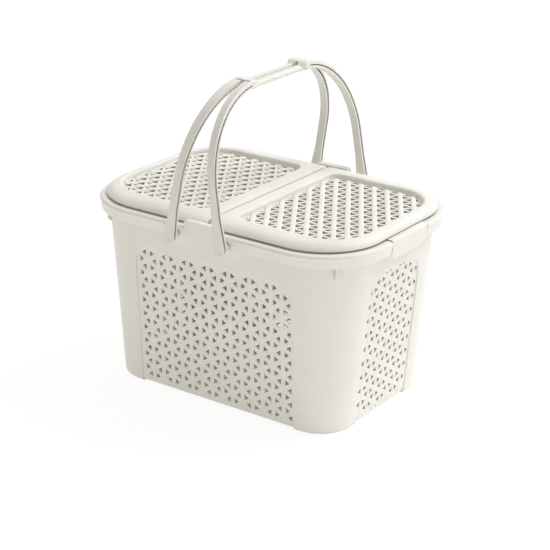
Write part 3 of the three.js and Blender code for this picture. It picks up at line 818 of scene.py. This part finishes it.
def lidBorderRings():
    top = lid["bottom"] + lid["height"]
    floorTop, wall = lid["floorTop"], lid["wall"]

    def roll(share, shrink):
        turn = share * pi / 2
        side, end = (shrink + (lid[k] - shrink) * (1 - cos(turn)) for k in ("crownSide", "crownEnd"))
        z = lid["bottom"] + (lid["height"] - shrink) * sin(turn)
        r = lid["innerRound"]
        rise = max(0.0, z - (top - shrink - r))
        return lidRing(side, end, shrink + r - math.sqrt(max(0.0, r * r - rise * rise)), z)

    shares = [k / lid["rollSteps"] for k in range(lid["rollSteps"] + 1)]
    rings = [lidFloorRing(0, floorTop - wall / 2), lidFloorRing(wall, floorTop - wall),
             lidFloorRing(wall + lid["slope"], top - wall)]
    rings += [roll(s, wall) for s in reversed(shares)]
    # a small step under the lower edge leaves a shadow line above the rim
    step, e = lid["undercut"], lid["undercutEdge"]
    level = math.asin(step / lid["height"]) / (pi / 2)
    rings += [lidRing(step, step, step, lid["bottom"]), lidRing(step, step, step, lid["bottom"] + step)]
    rings += [roll(s, 0) for s in [level, level + e] + [s for s in shares if s > level + 2 * e]]
    # the border's top swells a little between its roll and the sunk floor
    crest = rings[-1]
    lip = [lidFloorRing(lid["slope"] + margin, top - drop) for margin, drop in lid["lip"]]
    for k in range(1, lid["crownSteps"]):
        s = k / lid["crownSteps"]
        lift = lid["topCrown"] * sin(pi * s)
        rings.append([a.lerp(b, s) + Vector((0, 0, lift)) for a, b in zip(crest, lip[0])])
    rings += lip + [lidFloorRing(margin, floorTop + rise) for margin, rise in lid["cove"]]
    rings.append(lidFloorRing(-lid["floorLap"], floorTop - wall / 2))
    return rings


def tongueIsland():
    # a bent strip: over the ledge of the rim, round the edge and down into the pocket
    t = tongue
    bottom = lid["bottom"]
    high = bottom + t["ledge"]  # thin here, so that the line under the lid runs on above it
    bend, inside, edge, corner = t["bend"], t["inside"], t["edge"], t["corner"]
    centre, cornerTop = t["outer"] - bend, t["tip"] + corner
    turns = quarterTurns(6)
    outerLine, innerLine = [], []
    for x in (t["root"], (t["root"] + centre) / 2):
        outerLine.append((x, high, t["half"]))
        innerLine.append((x, bottom, t["half"]))
    for turn in turns:
        c, s = cos(turn), sin(turn)
        outerLine.append((centre + bend * s, high - bend + bend * c, t["half"]))
        innerLine.append((centre + inside * s, bottom - inside + inside * c, t["half"]))
    for z in [*t["levels"]] + [t["tip"] + corner * (1 - sin(turn)) for turn in turns]:
        half = between(t["half"], t["tipHalf"], max(0.0, t["skirt"] - z) / (t["skirt"] - t["tip"]))
        if z < cornerTop:
            half -= corner - math.sqrt(max(0.0, corner ** 2 - (cornerTop - z) ** 2))
        thin = t["tipThin"] if z < t["tip"] + t["tipRise"] else 0.0
        front = t["outer"] - t["draft"] * max(0.0, t["draftTop"] - z)
        outerLine.append((front - thin, z, half))
        innerLine.append((front - t["thickness"] + thin, z, half))
    rings = []
    for (xo, zo, ho), (xi, zi, hi) in zip(outerLine, innerLine):
        dx, dz = xo - xi, zo - zi
        length = math.hypot(dx, dz)
        dx, dz = dx / length * edge, dz / length * edge
        rings.append([Vector((xo, -ho + edge, zo)), Vector((xo, ho - edge, zo)), Vector((xo - dx, ho, zo - dz)),
                      Vector((xi + dx, hi, zi + dz)), Vector((xi, hi - edge, zi)), Vector((xi, -hi + edge, zi)),
                      Vector((xi + dx, -hi, zi + dz)), Vector((xo - dx, -ho, zo - dz))])
    return loftRings(rings, caps=True)


def makeLid(name, body, turned):
    bm = bmesh.new()
    addIsland(bm, *loftRings(lidBorderRings(), loop=True))
    addIsland(bm, *tongueIsland())
    for way in (-1, 1):
        addIsland(bm, *roundPinY(lid["pinRadius"], lid["pinX"], lid["pinZ"], way * lid["pinRoot"],
                                 way * lid["pinTip"], lid["pinSides"], lid["pinEdge"]))
    settlePiece(bm, name + "Border", body, "lid_plastic", lidIvory, turned)

    # pierced floor, drawn with its bars along the second axis
    w = lidLattice
    lie = Matrix.Rotation(-pi / 2, 4, "Z")
    outline = [(-p.y, p.x) for p in lidFloorRing(w["lap"], 0)]
    inside = [(-p.y, p.x) for p in lidFloorRing(-w["edge"], 0)]
    holes = triangleField(inside, w["pitch"], w["halfPeriod"], w["bar"], w["corner"], w["start"])
    bm = bmesh.new()
    plate = filledPlate([outline] + holes, w["thickness"], w["bevel"])
    addMesh(bm, plate, lie @ Matrix.Translation((0, 0, lid["floorTop"] - w["thickness"] / 2)))
    # one family of struts stands proud; the two lids are mirror images in this
    lean = -1 if turned else 1
    run = beyond * w["halfPeriod"] / w["pitch"]
    for k in range(-w["struts"], w["struts"] + 1):
        at = w["start"] + (2 * k + 1 + 0.5 * lean) * w["halfPeriod"]
        line = clipLine((-beyond, at - lean * run), (beyond, at + lean * run), inside)
        if line:
            ridge(bm, *line, lid["floorTop"], w["ridgeWidth"], w["ridgeRise"], lie)
    print(name, "has", len(holes), "holes")
    settlePiece(bm, name + "Lattice", body, "lid_plastic", lidIvory, turned)


makeLid("lidRight", "lid_right", False)
makeLid("lidLeft", "lid_left", True)
print("lids built")


# carry handles

handle = {
    "pivotX": 36.5, "pivotZ": 224.0, "lean": 0.16459, "inner": 148.6, "draft": 1.0,
    "thickness": 7.0, "topThickness": 9.0, "half": 5.1, "edge": 1.2, "dish": 0.7, "dishHalf": 0.4, "dishShare": 0.7,
    "groove": 4.5, "innerFlange": 2.5, "outerFlange": 1.3, "outerFlangeTop": 5.3, "webShare": 0.6, "webLeast": 0.2,
    "footHalf": 7.5, "footLength": 34.0, "footStops": (0, 6, 13, 20, 27, 34), "footSteps": 12, "footLeast": 0.5,
    "shoulderStart": 64.8, "shoulderRise": 111.2, "shoulderSteps": 4, "archSteps": 44, "archTurn": 89.6,
    "hub": 4.8, "hubFace": 142.6, "hubSides": 40, "hubEdge": 0.4,
    "pin": 4.0, "pinTip": 136.6, "pinSides": 32, "pinEdge": 0.5, "pinRoot": 0.7,
    # round the groove: a width, how far in from it, a level, how far up from it
    "profile": (
        ("half", 0.0, "under", 0.35), ("half", 0.1, "under", 0.1), ("half", 0.35, "under", 0.0),
        ("web", -0.35, "under", 0.0), ("web", 0.0, "under", -0.3), ("web", 0.0, "flange", 0.3),
        ("web", -0.35, "flange", 0.0), ("half", 0.35, "flange", 0.0), ("half", 0.08, "flange", -0.2),
        ("half", 0.0, "flange", -0.5), ("half", 0.1, "inner", 0.3), ("half", 0.5, "inner", 0.0),
    ),
}
grip = {"stations": (-52.5, -26.0, 0.0, 26.0, 52.5),
        "flat": 3.15, "width": 8.0, "radius": 3.5, "middle": 390.48, "edge": 1.0}
collar = {"start": 52.0, "end": 60.0, "left": 0.15, "right": 13.6, "low": 387.3, "high": 398.1,
          "leftRound": 1.4, "rightRound": 2.6, "edge": 1.0, "ramp": 9.0, "rampDrop": 4.2, "rampSteps": 8}


def legSection(half, web):
    # an I section: half of it across, and how far out each point lies on the leg and at the top of the arch
    h = handle
    k = min(1.0, half / h["half"])
    outer, top = h["thickness"], h["topThickness"]
    widths = {"half": half, "web": web}
    levels = {"under": (outer - h["outerFlange"], top - h["outerFlangeTop"]),
              "flange": (h["innerFlange"], h["innerFlange"]), "inner": (0.0, 0.0)}
    dish, dishSide = h["dish"] * k, h["dish"] * k * h["dishShare"]
    right = [(0.0, outer - dish, top - dish), (half * h["dishHalf"], outer - dishSide, top - dishSide)]
    for turn in quarterTurns():
        drop = h["edge"] * (1 - cos(turn))
        right.append((half - k * h["edge"] * (1 - sin(turn)), outer - drop, top - drop))
    for width, inset, level, rise in h["profile"]:
        low, high = levels[level]
        right.append((widths[width] - inset * k, low + rise, high + rise))
    right.append((half * h["dishHalf"], 0.0, 0.0))
    return right + [(-a, low, high) for a, low, high in reversed(right[1:])]


def leaned(a, y, s):
    # from the plane of the arch to the basket, leaning in on its pivots
    c, n = cos(handle["lean"]), sin(handle["lean"])
    return Vector((handle["pivotX"] + a * c - s * n, y, handle["pivotZ"] + a * n + s * c))


def legRings(way):
    h = handle
    foot, web = h["footHalf"], h["footHalf"] - h["groove"]
    rings = []

    def straight(s, half, core, draft=0.0):
        rings.append([leaned(a, way * (h["inner"] + low - draft), s) for a, low, _ in legSection(half, core)])

    for turn in quarterTurns(h["footSteps"])[:-1]:
        s = -foot * cos(turn)
        half = max(h["footLeast"], math.sqrt(max(0.0, foot * foot - s * s)))
        core = math.sqrt(max(0.0, web * web - s * s)) + h["webLeast"]
        straight(s, half, min(h["webShare"] * half, core))
    for s in h["footStops"]:
        half = between(foot, h["half"], s / h["footLength"])
        straight(s, half, half - h["groove"])
    for k in range(1, h["shoulderSteps"]):
        share = k / h["shoulderSteps"]
        s = between(h["footLength"], h["shoulderStart"], share)
        straight(s, h["half"], h["half"] - h["groove"], h["draft"] * share)
    # the arch stops just inside the collar
    section = legSection(h["half"], h["half"] - h["groove"])
    for k in range(h["archSteps"] + 1):
        turn = math.radians(h["archTurn"]) * k / h["archSteps"]
        ring = []
        for a, low, high in section:
            across = h["inner"] + low - h["draft"] - collar["start"]
            rise = h["shoulderRise"] - h["topThickness"] + high
            ring.append(leaned(a, way * (collar["start"] + across * cos(turn)),
                               h["shoulderStart"] + rise * sin(turn)))
        rings.append(ring)
    return rings


def gripRing(y):
    g = grip
    left, low, high, e = g["flat"], g["middle"] - g["radius"], g["middle"] + g["radius"], g["edge"]
    centre = left + g["width"] - g["radius"]
    ring = arcPoints(left + e, low + e, e, pi)
    ring += arcPoints(centre, g["middle"], g["radius"], -pi / 2, 9)
    ring += arcPoints(centre, g["middle"], g["radius"], 0, 9)[1:]
    ring += arcPoints(left + e, high - e, e, pi / 2)
    return [Vector((x, y, z)) for x, z in ring]


def collarRing(y, inset):
    c = collar
    left, right = c["left"] + inset, c["right"] - inset
    low, high = c["low"] + inset, c["high"] - inset
    a, b = c["leftRound"], c["rightRound"]
    ring = arcPoints(left + a, low + a, a, pi) + arcPoints(right - b, low + b, b, -pi / 2)
    ring += arcPoints(right - b, high - b, b, 0) + arcPoints(left + a, high - a, a, pi / 2)
    return [Vector((x, y, z)) for x, z in ring]


def makeHandle(name, body, turned):
    h, c = handle, collar
    bm = bmesh.new()
    for way in (-1, 1):
        addIsland(bm, *loftRings(legRings(way), caps=True))
    settlePiece(bm, name + "Legs", body, "handle_plastic", shadedHandleIvory, turned)
    bm = bmesh.new()
    addIsland(bm, *loftRings([gripRing(y) for y in grip["stations"]], caps=True))
    # a soft ramp rises from the grip to the collar
    e, steps = c["edge"], c["rampSteps"]
    stations = [(c["start"] - c["ramp"] * k / steps, c["rampDrop"] * (1 - cos(pi * k / steps)) / 2)
                for k in range(steps, -1, -1)]
    stations += [(c["end"] - e * (1 - sin(t)), e * (1 - cos(t))) for t in quarterTurns()]
    for way in (-1, 1):
        addIsland(bm, *loftRings([collarRing(way * y, inset) for y, inset in stations], caps=True))
    settlePiece(bm, name + "Grip", body, "handle_plastic", shadedHandleIvory, turned)
    bm = bmesh.new()
    x, z = h["pivotX"], h["pivotZ"]
    for way in (-1, 1):
        root = way * (h["inner"] + h["pinRoot"])
        addIsland(bm, *roundPinY(h["hub"], x, z, root, way * h["hubFace"], h["hubSides"], h["hubEdge"]))
        addIsland(bm, *roundPinY(h["pin"], x, z, root, way * h["pinTip"], h["pinSides"], h["pinEdge"]))
    settlePiece(bm, name + "Pivots", body, "handle_plastic", shadedHandleIvory, turned)


makeHandle("handleRight", "handle_right", False)
makeHandle("handleLeft", "handle_left", True)
print("handles built")


# floor, light and camera

studio = {
    "floorSize": 12.0, "floorTone": (0.95, 0.95, 0.95, 1), "floorRoughness": 0.9, "tableLight": 0.31,
    "floorGlow": 0.80, "horizon": 0.42, "zenith": 0.80, "behind": 0.40, "skyTint": (1.0, 0.98, 0.94, 1),
}
keyLamp = {"place": (0.91, 1.35, 2.23), "target": (0, 0, 0.2), "size": 1.8, "power": 39.0,
           "colour": (0.93, 0.975, 1.06)}


def whiteRays(nodes, links):
    # 1 for what the camera sees, directly or in a reflection, 0 for the light that falls on the basket
    path = nodes.new("ShaderNodeLightPath")
    value = path.outputs["Is Camera Ray"]
    for name in ("Is Glossy Ray", "Is Transmission Ray"):
        value = mathNode(nodes, links, "MAXIMUM", value, path.outputs[name])
    return value


def makeFloorPlane():
    bm = bmesh.new()
    bmesh.ops.create_grid(bm, x_segments=1, y_segments=1, size=studio["floorSize"] / 2)
    plane = addPiece("studioFloor", bm)
    material = bpy.data.materials.new("studioFloor")
    material.use_nodes = True
    nodes, links = material.node_tree.nodes, material.node_tree.links
    matte = nodes["Principled BSDF"]
    matte.inputs["Base Color"].default_value = studio["floorTone"]
    matte.inputs["Roughness"].default_value = studio["floorRoughness"]
    # a white table lit softly from below
    matte.inputs["Emission Color"].default_value = (1, 1, 1, 1)
    matte.inputs["Emission Strength"].default_value = studio["tableLight"]
    glow = nodes.new("ShaderNodeEmission")
    glow.inputs["Color"].default_value = (1, 1, 1, 1)
    seen = mathNode(nodes, links, "MULTIPLY", whiteRays(nodes, links), studio["floorGlow"])
    blend = nodes.new("ShaderNodeMixShader")
    links.new(seen, blend.inputs["Fac"])
    links.new(matte.outputs["BSDF"], blend.inputs[1])
    links.new(glow.outputs["Emission"], blend.inputs[2])
    links.new(blend.outputs["Shader"], nodes["Material Output"].inputs["Surface"])
    plane.data.materials.append(material)


def makeSky():
    world = bpy.data.worlds.new("studioSky")
    bpy.context.scene.world = world
    world.use_nodes = True
    nodes, links = world.node_tree.nodes, world.node_tree.links
    sky = nodes["Background"]
    sky.inputs["Color"].default_value = studio["skyTint"]
    # brighter overhead than at the horizon
    place = nodes.new("ShaderNodeTexCoord")
    split = nodes.new("ShaderNodeSeparateXYZ")
    links.new(place.outputs["Generated"], split.inputs["Vector"])
    level = remap(nodes, links, split.outputs["Z"], (0.0, 1.0), (studio["horizon"], studio["zenith"]))
    # and brighter behind the basket than in front of it
    slant = mathNode(nodes, links, "MULTIPLY_ADD", split.outputs["Y"], studio["behind"], 1.0)
    links.new(mathNode(nodes, links, "MULTIPLY", level, slant), sky.inputs["Strength"])
    # plain white where the camera, or a reflection, sees it
    white = nodes.new("ShaderNodeBackground")
    white.inputs["Color"].default_value = (1, 1, 1, 1)
    white.inputs["Strength"].default_value = 1.0
    blend = nodes.new("ShaderNodeMixShader")
    links.new(whiteRays(nodes, links), blend.inputs["Fac"])
    links.new(sky.outputs["Background"], blend.inputs[1])
    links.new(white.outputs["Background"], blend.inputs[2])
    links.new(blend.outputs["Shader"], nodes["World Output"].inputs["Surface"])


def softLamp(name, place, target, size, power, colour):
    data = bpy.data.lights.new(name, "AREA")
    data.shape = "DISK"
    data.size = size
    data.energy = power
    data.color = colour
    lamp = addObject(name, data)
    lamp.location = place
    lamp.rotation_euler = (Vector(target) - Vector(place)).to_track_quat("-Z", "Y").to_euler()


shot = {"azimuth": 34.89, "elevation": 22.05, "distance": 2.1232, "aim": 0.12, "roll": 0.87,
        "focalPixels": 1704.6, "centre": (269.79, 286.30), "frame": 550, "sensor": 36.0, "clipEnd": 50.0}


def makeCamera():
    turn, tilt, roll = (math.radians(shot[k]) for k in ("azimuth", "elevation", "roll"))
    back = Vector((sin(turn) * cos(tilt), -cos(turn) * cos(tilt), sin(tilt)))
    right = Vector((cos(turn), sin(turn), 0))
    up = back.cross(right)
    rolledRight = right * cos(roll) + up * sin(roll)
    rolledUp = up * cos(roll) - right * sin(roll)
    data = bpy.data.cameras.new("camera")
    data.sensor_width = shot["sensor"]
    data.lens = shot["focalPixels"] * shot["sensor"] / shot["frame"]
    data.shift_x = (shot["frame"] / 2 - shot["centre"][0]) / shot["frame"]
    data.shift_y = (shot["centre"][1] - shot["frame"] / 2) / shot["frame"]
    data.clip_end = shot["clipEnd"]
    camera = addObject("camera", data)
    place = Matrix((rolledRight, rolledUp, back)).transposed().to_4x4()
    place.translation = Vector((0, 0, shot["aim"])) + back * shot["distance"]
    camera.matrix_world = place
    bpy.context.scene.camera = camera


makeFloorPlane()
makeSky()
softLamp("keyLamp", **keyLamp)
makeCamera()
bpy.context.scene.view_settings.view_transform = "Standard"
print("studio ready")
